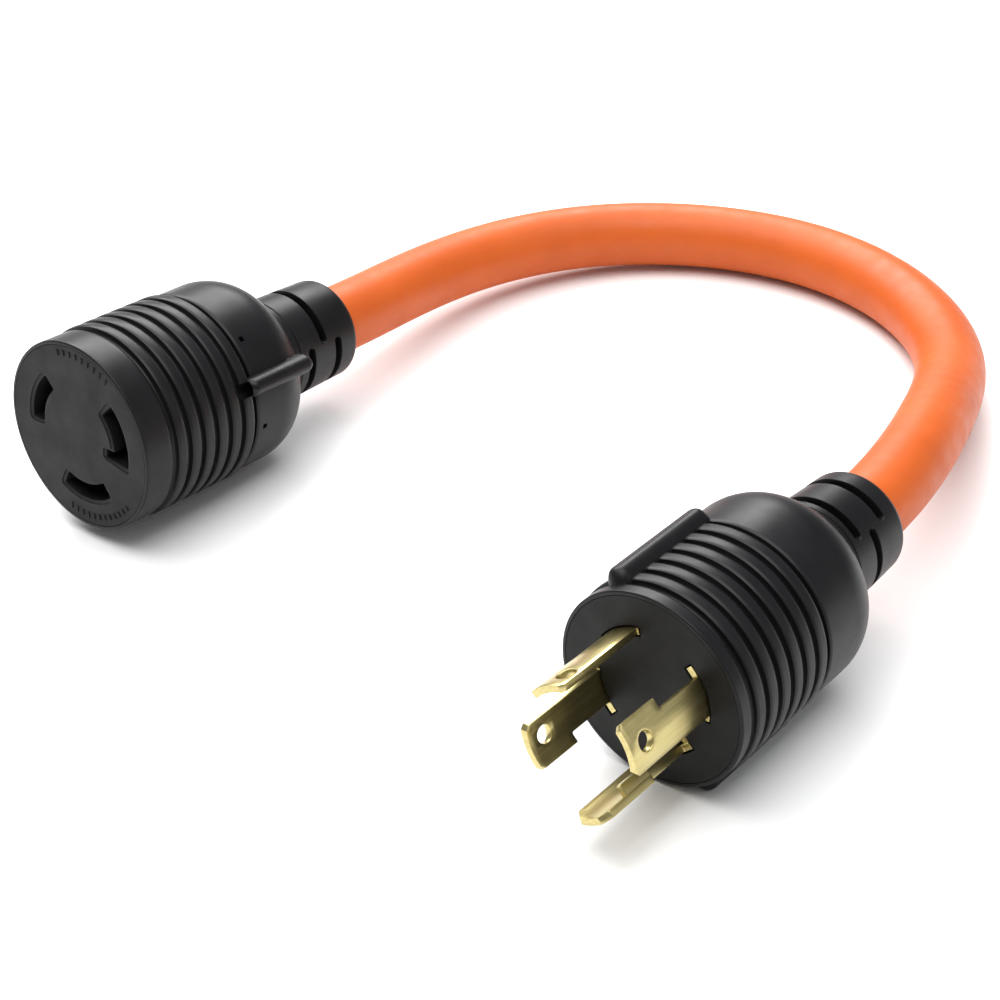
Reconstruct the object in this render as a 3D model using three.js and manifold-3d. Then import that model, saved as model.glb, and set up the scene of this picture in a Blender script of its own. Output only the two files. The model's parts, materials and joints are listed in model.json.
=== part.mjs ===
// Power adapter dogbone: a short stiff cord with a four-blade locking plug and a three-slot
// locking connector. Millimetres, +Z up. Both housings lie side by side along Y with their
// faces towards -Y. The plug lies level, and the cord's weight tips the connector back onto its
// shoulder. The origin is the middle of the bottom of the box round the two housings.
//
// Each housing is drawn in its own frame: Y along its axis with 0 at the face, and angles
// counted anticlockwise from +X as seen by someone who looks at the face.

import * as THREE from 'three';
import { mergeVertices } from 'three/addons/utils/BufferGeometryUtils.js';
import Module from 'manifold-3d';

const wasm = await Module();
wasm.setup();

// Driving dimensions ------------------------------------------------------------------------

const GAP = 0.3; // clearance between neighbouring pieces
const SPACING = 154; // between the two housing axes
const NECK_END_Y = 49; // both necks end here

const CORD_RADIUS = 8.5;
const CORD_BORE = 6.4; // inside of the jacket
const WIRE_RADIUS = 2.5;
const WIRE_ORBIT = 3.2; // wire axis from the cord's axis
const COPPER_RADIUS = 1.35;
const COPPER_BORE = 1.8;
const FILLER_RADIUS = 1.05;
const FILLER_ORBIT = 4.7;
const LAY_TWIST = -504; // degrees that the wires turn from one end of the cord to the other
const CORD_STATIONS = 14;

const ROUND = 32; // sides of a housing's shell
const INNER_ROUND = 24; // sides of what is inside it
const SMALL_ROUND = 12; // sides of a barrel
const FACET = 15; // degrees of one facet of a curved wall

const connector = {
  tilt: 4.5, // degrees that the face looks up
  length: 79, // face to neck end
  bodyLength: 54,
  collarRadius: 22.7,
  ribRadius: 23.1,
  rearRadius: 22.5,
  firstGroove: 8.5,
  groovePitch: 4.15,
  shoulderStart: 43,
  neckBaseRadius: 12.9,
  neckEndRadius: 12.4,
  jacketEnd: 47, // the jacket is stripped from here to the contacts
  barrelEnd: 36,
  slotRows: [62.4, 67.0, 71.7],
  slotTurn: 68, // angle of the middle slot's centre
  slotSpans: [76, 106, 76],
  bar: { angle: 18, radius: 2.75, orbit: 22.6, from: 31.5, to: 52 },
  web: { inner: 15, width: 4, from: 40, to: 48 }, // joins the bar's back end to the shoulder
  barMouth: { radius: 1.9, lead: 2.6, depth: 4 }, // hole in the bar's front end and ahead of it
  corePin: { aside: 28, y: 36.5, radius: 0.75, floor: 20.6 },
};

const plug = {
  tilt: 0,
  length: 73,
  bodyLength: 50,
  collarRadius: 21.2,
  ribRadius: 21.5,
  rearRadius: 21.2,
  firstGroove: 3.8,
  groovePitch: 4.2,
  shoulderStart: 40,
  neckBaseRadius: 12.8,
  neckEndRadius: 12.0,
  jacketEnd: 43,
  barrelEnd: 21,
  slotRows: [57.2, 61.9, 66.5],
  slotTurn: 0,
  slotSpans: [106, 76, 106],
  bar: { angle: 118, radius: 2.9, orbit: 20.9, from: 2.2, to: 31 },
};

const FACE_LIP = 0.9; // rim of the shell round the face disc
const FACE_LIP_DEPTH = 2;
const FACE_DEPTH = 8;
const RIM_CHAMFER = 0.6;
const SHELL_WALL = 4.5;
const REAR_WALL = 3.7;
const CAVITY_TAPER = 2.2; // the cavity narrows by this much at its back
const CAVITY_TAPER_LENGTH = 6;
const GROOVES = 7;
const GROOVE_HALF_WIDTH = 0.6;
const GROOVE_DEPTH = 0.8;
const FLANGE_DEPTH = 3.4; // the neck is held in the housing by a flange
const NECK_TAPER_START = 2.6; // ahead of its first slots
const NECK_ROUNDING = 1.5;
const NECK_SLOT_WIDTH = 2;
const NECK_SLOT_FLOOR = 10.2; // radius of the bottom of the neck's slots

// Blades and contacts lie on one circle
const BLADE_INNER = 12.0;
const BLADE_OUTER = 13.6;
const BLADE_TIP = 22.3; // how far a blade stands out of the face
const GROUND_TIP = 26.3;
const NOTCH_LENGTH = 11.6; // locking notch, from the face
const NOTCH_SPAN = 10; // degrees cut from the blade's edge by the notch
const BLADE_HOLE_RADIUS = 1.9;
const BLADE_HOLE_Y = -18;
const TIP_CHAMFER = 0.9;
const GROUND_TIP_CHAMFER = 1.8;
const ROOT_FRONT = 0.1; // a blade's root lies this far below the face
const SLOT_EDGE = 1.4; // degrees of clearance at each end of a blade
const BASE_PLATE = 1.4; // joins a blade to its crimp barrel
const PLATE_INNER = 8.8;
const PLATE_HALF_SPAN = 15;
const BARREL_ORBIT = 10;
const BARREL_RADIUS = 2.7;
const BARREL_BORE = 1.85;
const INSULATION_GAP = 0.8; // bare copper between a barrel and its wire's insulation
const COPPER_IN_BARREL = 6;
const HOLDER_FROM = 10;
const HOLDER_TO = 14;

const blades = {
  hot_x_blade: { from: 181, to: 227, hole: 201, tip: BLADE_TIP },
  hot_y_blade: { from: -5, to: 47, hole: 24, tip: BLADE_TIP },
  neutral_blade: { from: 102, to: 145, hole: 115, tip: BLADE_TIP },
  ground_blade: { from: -83, to: -43, hole: null, tip: GROUND_TIP },
};
const GROUND_LEG_INNER = 9.8; // the ground blade's hooked leg reaches in to this radius
const GROUND_LEG_SPAN = 7;
const GROUND_LEG_TIP = 19;
const GROUND_LEG_OVERLAP = 0.4; // of the leg with the blade it is bent from
const GROUND_LEG_ROOM = 2; // degrees that the leg's slot is wider than the leg

const contacts = {
  hot_x_contact: { from: 131, to: 180, inner: 12, outer: 15.7 },
  hot_y_contact: { from: -115, to: -55, inner: 11.8, outer: 15.5 },
  ground_contact: { from: -12, to: 44, inner: 11.6, outer: 16 },
};
const GROUND_SLOT_HOOK_INNER = 9;
const GROUND_SLOT_HOOK_SPAN = 11;
const LEAF = 0.8; // thickness of a contact's two spring leaves
const BACK_PLATE = 1;
const ARM_HALF_SPAN = 13; // degrees, of the arm from the back plate to the crimp barrel
const ARM_POCKET_INNER = 6.6;
const ARM_POCKET_HALF_SPAN = 20;
const CONTACT_FRONT = 9.2;
const CONTACT_BACK = 26;
const CARRIER_TO = 28;
const CAP_TO = 31.3;

const MOULD_CHAMFER = { along: 3, across: 1.6 };
const CHANNEL_CLEARANCE = 0.7; // between a wire and the soft filling

// The cord's axis, from inside the connector to inside the plug. It leaves each neck straight,
// comes down to the surface and lies on it at the back of the loop.
const cordRoute = [
  [-75.6, 16.2, 22.1], [-75.6, 33.2, 20.8], [-75.8, 50.1, 19.3], [-77.3, 66.9, 17.2],
  [-79.3, 83.6, 15], [-80, 100.5, 12.9], [-77.5, 117.2, 11.5], [-71.3, 132.9, 10.6],
  [-61.6, 146.7, 9.9], [-48.8, 157.9, 9.3], [-33.8, 165.7, 8.9], [-17.3, 169.7, 8.7],
  [-0.4, 169.7, 8.6], [16.1, 165.5, 8.6], [31, 157.6, 8.7], [43.7, 146.4, 9.2],
  [53.6, 132.7, 10.8], [60.7, 117.6, 13.6], [66.7, 102, 17], [72.2, 86.2, 19.9],
  [76.3, 69.8, 21.3], [78.3, 53, 21.5], [78.4, 36, 21.5], [78.4, 19, 21.5],
];

// Places worked out from them -----------------------------------------------------------------

const rad = THREE.MathUtils.degToRad;
const barReach = (bar) => bar.orbit * Math.cos(rad(bar.angle)) + bar.radius;
const leftReach = barReach(connector.bar);
const rightReach = plug.ribRadius;

// How high a housing's face centre is when its last rib or its shoulder rests on the surface.
function restHeight(end) {
  const lastRibEnd = end.firstGroove + (GROOVES - 1) * end.groovePitch - GROOVE_HALF_WIDTH;
  const ribHeight = lastRibEnd * Math.sin(rad(end.tilt)) + end.ribRadius * Math.cos(rad(end.tilt));
  const shoulderHeight =
    end.shoulderStart * Math.sin(rad(end.tilt)) + end.rearRadius * Math.cos(rad(end.tilt));
  return Math.max(ribHeight, shoulderHeight);
}

// How far behind the face centre a housing's neck reaches.
function neckReach(end) {
  return end.length * Math.cos(rad(end.tilt)) +
    (end.neckEndRadius - NECK_ROUNDING) * Math.sin(rad(end.tilt));
}

// From a housing's own frame to the part's.
function frameOf(end, x) {
  return new THREE.Matrix4().makeRotationX(-rad(end.tilt)).setPosition(
    x, NECK_END_Y - neckReach(end), restHeight(end));
}

connector.frame = frameOf(connector, (leftReach - rightReach - SPACING) / 2);
plug.frame = frameOf(plug, (leftReach - rightReach + SPACING) / 2);

// Materials -----------------------------------------------------------------------------------

const material = (color, roughness, metalness = 0) =>
  new THREE.MeshStandardMaterial({ color, roughness, metalness });

const looks = {
  softBlack: () => material(0x2b2b2e, 0.45),
  hardBlack: () => material(0x232322, 0.6),
  innerGrey: () => material(0x3a3a3c, 0.7),
  brass: () => material(0xc9b45c, 0.3, 1),
  orange: () => material(0xe9702f, 0.5),
  wireBlack: () => material(0x1c1c1c, 0.5),
  wireWhite: () => material(0xe8e6df, 0.5),
  wireGreen: () => material(0x2f8a4a, 0.5),
  copper: () => material(0xb8734a, 0.35, 1),
  filler: () => material(0xd8cdb4, 0.9),
};

// Solids --------------------------------------------------------------------------------------

// A closed manifold from a three.js geometry: shared corners merged, empty triangles dropped
// and the faces turned outwards.
function solid(geometry) {
  geometry.deleteAttribute('normal');
  geometry.deleteAttribute('uv');
  const merged = mergeVertices(geometry, 1e-4);
  const points = merged.getAttribute('position');
  const index = merged.getIndex().array;
  const corner = [0, 1, 2].map(() => new THREE.Vector3());
  const faces = [];
  let volume = 0;
  for (let i = 0; i < index.length; i += 3) {
    const [a, b, c] = index.slice(i, i + 3);
    if (a === b || b === c || c === a) continue;
    faces.push([a, b, c]);
    [a, b, c].forEach((vertex, k) => corner[k].fromBufferAttribute(points, vertex));
    volume += corner[0].dot(corner[1].clone().cross(corner[2]));
  }
  const outward = volume > 0 ? faces : faces.map(([a, b, c]) => [a, c, b]);
  return new wasm.Manifold(new wasm.Mesh({
    numProp: 3,
    vertProperties: new Float32Array(points.array),
    triVerts: new Uint32Array(outward.flat()),
  }));
}

function geometryOf(manifold) {
  const mesh = manifold.getMesh();
  const geometry = new THREE.BufferGeometry();
  geometry.setAttribute('position', new THREE.BufferAttribute(mesh.vertProperties, 3));
  geometry.setIndex(new THREE.BufferAttribute(mesh.triVerts, 1));
  geometry.computeVertexNormals();
  return geometry;
}

const joined = (solids) => solids.reduce((sum, next) => sum.add(next));
const cut = (base, tools) => tools.reduce((rest, tool) => rest.subtract(tool), base);

// A turned piece round the Y axis, from a closed list of [radius, y].
function turned(profile, sides = INNER_ROUND) {
  const closed = [...profile, profile[0]];
  return solid(new THREE.LatheGeometry(closed.map(([r, y]) => new THREE.Vector2(r, y)), sides));
}

const disc = (radius, from, to, sides = INNER_ROUND) =>
  turned([[0, from], [radius, from], [radius, to], [0, to]], sides);

const tube = (inner, outer, from, to, sides = INNER_ROUND) =>
  turned([[inner, from], [outer, from], [outer, to], [inner, to]], sides);

// A flat outline, drawn as seen from the face, made solid between two depths.
function extruded(shape, from, to) {
  const options = { depth: to - from, bevelEnabled: false };
  const geometry = new THREE.ExtrudeGeometry(shape, options);
  geometry.rotateX(Math.PI / 2);
  geometry.translate(0, to, 0);
  return solid(geometry);
}

// Angles from one to another with a corner at each whole facet between, so that curved walls
// laid against each other share their facets.
function facetAngles(fromAngle, toAngle) {
  const angles = [fromAngle];
  for (let a = Math.floor(fromAngle / FACET + 1) * FACET; a < toAngle - 0.5; a += FACET) {
    if (a > fromAngle + 0.5) angles.push(a);
  }
  return [...angles, toAngle];
}

// A curved wall: part of a ring between two angles in degrees.
function sector(inner, outer, fromAngle, toAngle, from, to) {
  const angles = facetAngles(fromAngle, toAngle);
  const corner = (radius, a) => new THREE.Vector2(radius * Math.cos(rad(a)), radius * Math.sin(rad(a)));
  const shape = new THREE.Shape([
    ...angles.map((a) => corner(outer, a)),
    ...angles.reverse().map((a) => corner(inner, a)),
  ]);
  return extruded(shape, from, to);
}

// A cutter that points along a radius: its outline lies across the radius at that angle, with x
// along the circle, anticlockwise, and y towards the cord.
function radialCutter(shape, angle, y, inner, outer) {
  const options = { depth: outer - inner, bevelEnabled: false };
  const geometry = new THREE.ExtrudeGeometry(shape, options);
  const around = new THREE.Vector3(-Math.sin(rad(angle)), 0, Math.cos(rad(angle)));
  const along = new THREE.Vector3(0, 1, 0);
  const outwards = new THREE.Vector3(Math.cos(rad(angle)), 0, Math.sin(rad(angle)));
  geometry.applyMatrix4(new THREE.Matrix4().makeBasis(around, along, outwards));
  geometry.translate(outwards.x * inner, y, outwards.z * inner);
  return solid(geometry);
}

function circleShape(radius, sides) {
  const corners = Array.from({ length: sides }, (_, k) => (2 * Math.PI * k) / sides);
  return new THREE.Shape(
    corners.map((a) => new THREE.Vector2(radius * Math.cos(a), radius * Math.sin(a))));
}

const polar = (radius, angle, y) =>
  new THREE.Vector3(radius * Math.cos(rad(angle)), y, radius * Math.sin(rad(angle)));

function barrelAt(radius, angle, from, to) {
  const centre = polar(BARREL_ORBIT, angle, 0);
  return disc(radius, from, to, SMALL_ROUND).translate([centre.x, 0, centre.z]);
}

// Housings ------------------------------------------------------------------------------------

const lipRadius = (end) => end.collarRadius - FACE_LIP;
const cavityRadius = (end) => end.ribRadius - SHELL_WALL;

function ribProfile(end) {
  const points = [];
  for (let k = 0; k < GROOVES; k += 1) {
    const y = end.firstGroove + k * end.groovePitch;
    const before = k === 0 ? end.collarRadius : end.ribRadius;
    const after = k === GROOVES - 1 ? end.rearRadius : end.ribRadius;
    points.push([before, y - GROOVE_HALF_WIDTH]);
    points.push([end.ribRadius - GROOVE_DEPTH, y]);
    points.push([after, y + GROOVE_HALF_WIDTH]);
  }
  return points;
}

// A quarter of an ellipse from the side of the body down to the neck.
function shoulderProfile(end, steps = 6) {
  const base = end.neckBaseRadius + GAP;
  const depth = end.bodyLength - end.shoulderStart;
  const points = [];
  for (let k = 0; k <= steps; k += 1) {
    const a = (Math.PI / 2) * (k / steps);
    const radius = base + (end.rearRadius - base) * Math.cos(a);
    points.push([radius, end.shoulderStart + depth * Math.sin(a)]);
  }
  return points;
}

function fingerBar(end, angle) {
  const { radius, orbit, from, to } = end.bar;
  const capsule = new THREE.CapsuleGeometry(radius, to - from - 2 * radius, 3, 12);
  const bar = solid(capsule).translate([orbit, (from + to) / 2, 0]);
  return bar.rotate([0, -angle, 0]);
}

const cavityEndOf = (end) => end.bodyLength - REAR_WALL;

function housingShell(end) {
  const lip = lipRadius(end);
  const cavity = cavityRadius(end);
  const cavityEnd = cavityEndOf(end);
  const taperStart = cavityEnd - CAVITY_TAPER_LENGTH;
  const profile = [
    [lip, 0],
    [end.collarRadius - RIM_CHAMFER, 0],
    [end.collarRadius, RIM_CHAMFER],
    ...ribProfile(end),
    ...shoulderProfile(end),
    [end.neckBaseRadius + GAP, cavityEnd],
    [cavity - CAVITY_TAPER, cavityEnd],
    [cavity, taperStart],
    [cavity, FACE_LIP_DEPTH + GAP],
    [lip, FACE_LIP_DEPTH + GAP],
  ];
  const shell = turned(profile, ROUND);
  const room = disc(cavity, FACE_LIP_DEPTH, taperStart, ROUND);
  const bars = [0, 180].map((turn) => fingerBar(end, end.bar.angle + turn).subtract(room));
  return joined([shell, ...bars]);
}

// The connector's bars stand clear of the shoulder at the back, on a web, and are hollow at the
// front. Small core-pin holes lie on both sides of each.
function connectorShell() {
  const { bar, web, barMouth, corePin } = connector;
  const room = disc(cavityRadius(connector), 0, cavityEndOf(connector), ROUND);
  const webBox = new THREE.BoxGeometry(bar.orbit - web.inner, web.to - web.from, web.width);
  const webPlate = solid(webBox).translate([(bar.orbit + web.inner) / 2, (web.from + web.to) / 2, 0]);
  const mouthFrom = bar.from - barMouth.lead;
  const mouth = disc(barMouth.radius, mouthFrom, bar.from + barMouth.depth, SMALL_ROUND);
  const webs = [];
  const holes = [];
  for (const angle of [bar.angle, bar.angle + 180]) {
    webs.push(webPlate.rotate([0, -angle, 0]).subtract(room));
    holes.push(mouth.translate([bar.orbit, 0, 0]).rotate([0, -angle, 0]));
    for (const pinAngle of [angle - corePin.aside, angle + corePin.aside]) {
      const section = circleShape(corePin.radius, 4);
      holes.push(radialCutter(section, pinAngle, corePin.y, corePin.floor, connector.ribRadius + 1));
    }
  }
  return cut(joined([housingShell(connector), ...webs]), holes);
}

// A flanged sleeve round the cord. Its neck is slotted in three rows so that it bends.
function strainRelief(end) {
  const bore = (CORD_RADIUS + GAP) / Math.cos(Math.PI / INNER_ROUND);
  const flangeEnd = cavityEndOf(end) - GAP;
  const flange = cavityRadius(end) - CAVITY_TAPER - GAP;
  const base = tube(bore, flange, flangeEnd - FLANGE_DEPTH, flangeEnd);
  const rounded = [0, 30, 60, 90].map((a) => [
    end.neckEndRadius - NECK_ROUNDING * (1 - Math.cos(rad(a))),
    end.length - NECK_ROUNDING * (1 - Math.sin(rad(a))),
  ]);
  const neck = turned([
    [bore, flangeEnd - 1],
    [end.neckBaseRadius, flangeEnd - 1],
    [end.neckBaseRadius, end.slotRows[0] - NECK_TAPER_START],
    ...rounded,
    [bore, end.length],
  ]);
  const half = NECK_SLOT_WIDTH / 2;
  const slots = end.slotRows.flatMap((y, row) => {
    const turn = end.slotTurn + (row === 1 ? 0 : 90);
    const halfSpan = end.slotSpans[row] / 2;
    return [turn, turn + 180].map((middle) => sector(
      NECK_SLOT_FLOOR, end.neckBaseRadius + 1, middle - halfSpan, middle + halfSpan, y - half, y + half));
  });
  return cut(base.add(neck), slots);
}

// Front disc: full width in the shell's lip, then stepped down to fit its cavity.
function faceDisc(end, slots) {
  const front = lipRadius(end) - GAP;
  const back = cavityRadius(end) - GAP;
  const step = FACE_LIP_DEPTH;
  const body = turned([
    [0, 0], [front, 0], [front, step], [back, step], [back, FACE_DEPTH], [0, FACE_DEPTH],
  ]);
  return cut(body, slots);
}

// Plug ----------------------------------------------------------------------------------------

const middleOf = ({ from, to }) => (from + to) / 2;

function tipCorner(angle, tip, chamfer, side) {
  const corner = new THREE.Shape([
    new THREE.Vector2(side * (chamfer + 1), -1),
    new THREE.Vector2(side * -1, -1),
    new THREE.Vector2(side * -1, chamfer + 1),
  ]);
  return radialCutter(corner, angle, -tip, BLADE_INNER - 3, BLADE_OUTER + 2);
}

// The blade's root fills its slot in the face. In front of the face a notch is cut from one edge.
function lockingBlade(spec) {
  const { from, to, hole, tip } = spec;
  const isGround = hole === null;
  const root = sector(BLADE_INNER, BLADE_OUTER, from, to, ROOT_FRONT, FACE_DEPTH + 1);
  const neck = sector(BLADE_INNER, BLADE_OUTER, from, to - NOTCH_SPAN, -NOTCH_LENGTH - 1, 1);
  const head = sector(BLADE_INNER, BLADE_OUTER, from, to, -tip, -NOTCH_LENGTH);
  const middle = middleOf(spec);
  const plateFrom = FACE_DEPTH + GAP;
  const plateTo = plateFrom + BASE_PLATE;
  const plate = sector(PLATE_INNER, BLADE_OUTER, middle - PLATE_HALF_SPAN, middle + PLATE_HALF_SPAN,
    plateFrom, plateTo);
  const barrel = barrelAt(BARREL_RADIUS, middle, plateFrom, plug.barrelEnd);
  const pieces = [root, neck, head, plate, barrel];
  if (isGround) {
    const legFrom = to - GROUND_LEG_SPAN;
    const legOuter = BLADE_INNER + GROUND_LEG_OVERLAP;
    pieces.push(sector(GROUND_LEG_INNER, legOuter, legFrom, to, -GROUND_LEG_TIP, -NOTCH_LENGTH));
    pieces.push(sector(GROUND_LEG_INNER, legOuter, legFrom, to, ROOT_FRONT, FACE_DEPTH));
  }
  const bore = barrelAt(BARREL_BORE, middle, plateTo, plug.barrelEnd + 1);
  const chamfer = isGround ? GROUND_TIP_CHAMFER : TIP_CHAMFER;
  const corners = [tipCorner(from, tip, chamfer, 1), tipCorner(to, tip, chamfer, -1)];
  const tools = [bore, ...corners];
  if (!isGround) {
    const section = circleShape(BLADE_HOLE_RADIUS, 14);
    tools.push(radialCutter(section, hole, BLADE_HOLE_Y, BLADE_INNER - 2, BLADE_OUTER + 2));
  }
  return cut(joined(pieces), tools);
}

function bladeSlots() {
  const inner = BLADE_INNER - GAP;
  const outer = BLADE_OUTER + GAP;
  const slots = Object.values(blades).map(({ from, to }) =>
    sector(inner, outer, from - SLOT_EDGE, to + SLOT_EDGE, -1, FACE_DEPTH + 1));
  const { to } = blades.ground_blade;
  const legFrom = to - GROUND_LEG_SPAN - GROUND_LEG_ROOM;
  slots.push(sector(GROUND_LEG_INNER - GAP, BLADE_INNER, legFrom, to + SLOT_EDGE, -1, FACE_DEPTH + 1));
  return slots;
}

function bladeHolder() {
  const radius = cavityRadius(plug) - GAP;
  const holes = Object.values(blades).map((spec) =>
    barrelAt(BARREL_RADIUS + GAP, middleOf(spec), HOLDER_FROM - 1, HOLDER_TO + 1));
  return cut(disc(radius, HOLDER_FROM, HOLDER_TO), holes);
}

// Connector -----------------------------------------------------------------------------------

// Curved slots the size of the contacts, with clearance all round.
function contactSlots(clearance, from, to) {
  const edge = THREE.MathUtils.radToDeg(clearance / BLADE_INNER);
  return Object.values(contacts).map((spec) => sector(
    spec.inner - clearance, spec.outer + clearance, spec.from - edge, spec.to + edge, from, to));
}

// The face's slots; the ground's is hooked at one end.
function faceSlots() {
  const { from, inner } = contacts.ground_contact;
  const hook = sector(GROUND_SLOT_HOOK_INNER, inner + 0.5, from, from + GROUND_SLOT_HOOK_SPAN,
    -1, FACE_DEPTH + 1);
  return [...contactSlots(0, -1, FACE_DEPTH + 1), hook];
}

// Two spring leaves with room for a blade between them, a back plate and a crimp barrel.
function springContact(spec) {
  const middle = middleOf(spec);
  const { from, to, inner, outer } = spec;
  const backFrom = CONTACT_BACK - BACK_PLATE;
  const outerLeaf = sector(outer - LEAF, outer, from, to, CONTACT_FRONT, CONTACT_BACK);
  const innerLeaf = sector(inner, inner + LEAF, from, to, CONTACT_FRONT, CONTACT_BACK);
  const back = sector(inner, outer, from, to, backFrom, CONTACT_BACK);
  const arm = sector(PLATE_INNER, inner + LEAF, middle - ARM_HALF_SPAN, middle + ARM_HALF_SPAN,
    backFrom, CONTACT_BACK);
  const barrel = barrelAt(BARREL_RADIUS, middle, backFrom, connector.barrelEnd);
  const bore = barrelAt(BARREL_BORE, middle, CONTACT_BACK + 1, connector.barrelEnd + 1);
  return cut(joined([outerLeaf, innerLeaf, back, arm, barrel]), [bore]);
}

function contactCarrier() {
  const radius = cavityRadius(connector) - GAP;
  const pockets = contactSlots(GAP, FACE_DEPTH, CARRIER_TO + 1);
  const armPockets = Object.values(contacts).map((spec) => {
    const middle = middleOf(spec);
    return sector(ARM_POCKET_INNER, spec.inner + 0.5,
      middle - ARM_POCKET_HALF_SPAN, middle + ARM_POCKET_HALF_SPAN,
      CONTACT_BACK - BACK_PLATE - GAP, CARRIER_TO + 1);
  });
  return cut(disc(radius, FACE_DEPTH + GAP, CARRIER_TO), [...pockets, ...armPockets]);
}

function carrierCap() {
  const radius = cavityRadius(connector) - GAP;
  const holes = Object.values(contacts).map((spec) =>
    barrelAt(BARREL_RADIUS + GAP, middleOf(spec), CARRIER_TO, CAP_TO + 1));
  return cut(disc(radius, CARRIER_TO + GAP, CAP_TO), holes);
}

// Cord ----------------------------------------------------------------------------------------

// A path that an extrusion follows station by station, so that tubes laid inside each other
// share the same corners.
class StationPath extends THREE.Curve {
  constructor(stations) {
    super();
    this.stations = stations;
  }

  getPoint(t) {
    const place = t * (this.stations.length - 1);
    const index = Math.min(Math.floor(place), this.stations.length - 2);
    return this.stations[index].clone().lerp(this.stations[index + 1], place - index);
  }

  getPointAt(u) {
    return this.getPoint(u);
  }

  getTangentAt(u) {
    const index = Math.round(u * (this.stations.length - 1));
    const before = this.stations[Math.max(index - 1, 0)];
    const after = this.stations[Math.min(index + 1, this.stations.length - 1)];
    return after.clone().sub(before).normalize();
  }
}

function swept(stations, radius, sides, boreRadius = 0, boreSides = sides) {
  const shape = circleShape(radius, sides);
  if (boreRadius > 0) {
    shape.holes.push(new THREE.Path(circleShape(boreRadius, boreSides).getPoints().reverse()));
  }
  const options = {
    steps: stations.length - 1,
    extrudePath: new StationPath(stations),
    bevelEnabled: false,
  };
  return solid(new THREE.ExtrudeGeometry(shape, options));
}

const axisCurve = new THREE.CatmullRomCurve3(cordRoute.map((point) => new THREE.Vector3(...point)));

// Stations along the cord, at a distance and an angle from its axis. The angle turns with the lay.
function cordStations(orbit, angle) {
  const stations = [];
  const up = new THREE.Vector3(0, 0, 1);
  for (let k = 0; k <= CORD_STATIONS; k += 1) {
    const u = k / CORD_STATIONS;
    const tangent = axisCurve.getTangentAt(u);
    const side = tangent.clone().cross(up).normalize();
    const top = side.clone().cross(tangent);
    const turn = rad(angle + LAY_TWIST * u);
    const point = axisCurve.getPointAt(u);
    point.addScaledVector(side, orbit * Math.cos(turn));
    point.addScaledVector(top, orbit * Math.sin(turn));
    stations.push(point);
  }
  return stations;
}

// Stations of a wire between its place in the cord and its crimp barrel.
function fanOut(end, cordAngle, barrelAngle) {
  const stations = [];
  const steps = 4;
  const from = end.jacketEnd - 0.5;
  const straight = 2; // last stretch, in line with the barrel
  const to = end.barrelEnd + INSULATION_GAP + straight;
  const turn = THREE.MathUtils.euclideanModulo(barrelAngle - cordAngle + 180, 360) - 180;
  for (let k = 1; k <= steps; k += 1) {
    const t = k / steps;
    const ease = THREE.MathUtils.smoothstep(t, 0, 1);
    const radius = THREE.MathUtils.lerp(WIRE_ORBIT, BARREL_ORBIT, ease);
    const y = THREE.MathUtils.lerp(from, to, t);
    stations.push(polar(radius, cordAngle + turn * ease, y).applyMatrix4(end.frame));
  }
  const mouth = polar(BARREL_ORBIT, barrelAngle, end.barrelEnd + INSULATION_GAP);
  stations.push(mouth.applyMatrix4(end.frame));
  return stations;
}

const wires = {
  ground: { cordAngle: 30, contact: 'ground_contact', blade: 'ground_blade', colour: 'wireGreen' },
  hot_x: { cordAngle: 150, contact: 'hot_x_contact', blade: 'hot_x_blade', colour: 'wireBlack' },
  hot_y: { cordAngle: 270, contact: 'hot_y_contact', blade: 'hot_y_blade', colour: 'wireWhite' },
};
const fillerAngles = [90, 210, 330];

// A wire's whole route, from its contact's barrel to its blade's barrel.
function wireStations(wire) {
  const contactAngle = middleOf(contacts[wire.contact]);
  const bladeAngle = middleOf(blades[wire.blade]);
  const plugCordAngle = 180 - (wire.cordAngle + LAY_TWIST);
  return [
    ...fanOut(connector, wire.cordAngle, contactAngle).reverse(),
    ...cordStations(WIRE_ORBIT, wire.cordAngle),
    ...fanOut(plug, plugCordAngle, bladeAngle),
  ];
}

// The bare copper goes on past the insulation into both barrels.
function copperStations(stations) {
  const beyond = (point, before) =>
    point.clone().sub(before).setLength(COPPER_IN_BARREL).add(point);
  const first = beyond(stations[0], stations[1]);
  const last = beyond(stations.at(-1), stations.at(-2));
  return [first, ...stations, last];
}

const routes = Object.fromEntries(
  Object.entries(wires).map(([name, wire]) => [name, wireStations(wire)]));

// The soft filling fits round the barrels and the wires, with clearance.
function innerMould(end, from, specs) {
  const to = end.jacketEnd - INSULATION_GAP;
  const radius = cavityRadius(end) - GAP;
  const body = turned([
    [0, from],
    [radius, from],
    [radius, to - MOULD_CHAMFER.along],
    [radius - MOULD_CHAMFER.across, to],
    [0, to],
  ]);
  const toHousing = end.frame.clone().invert();
  const channels = Object.values(routes).map((stations) =>
    swept(copperStations(stations), WIRE_RADIUS + CHANNEL_CLEARANCE, 7)
      .transform(toHousing.elements));
  const barrels = Object.values(specs).map((spec) =>
    barrelAt(BARREL_RADIUS + GAP, middleOf(spec), from - 1, end.barrelEnd + 1));
  return cut(body, [...channels, ...barrels]);
}

// Assembly ------------------------------------------------------------------------------------

function piece(name, manifold, look) {
  const mesh = new THREE.Mesh(geometryOf(manifold), looks[look]());
  mesh.name = name;
  return mesh;
}

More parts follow.
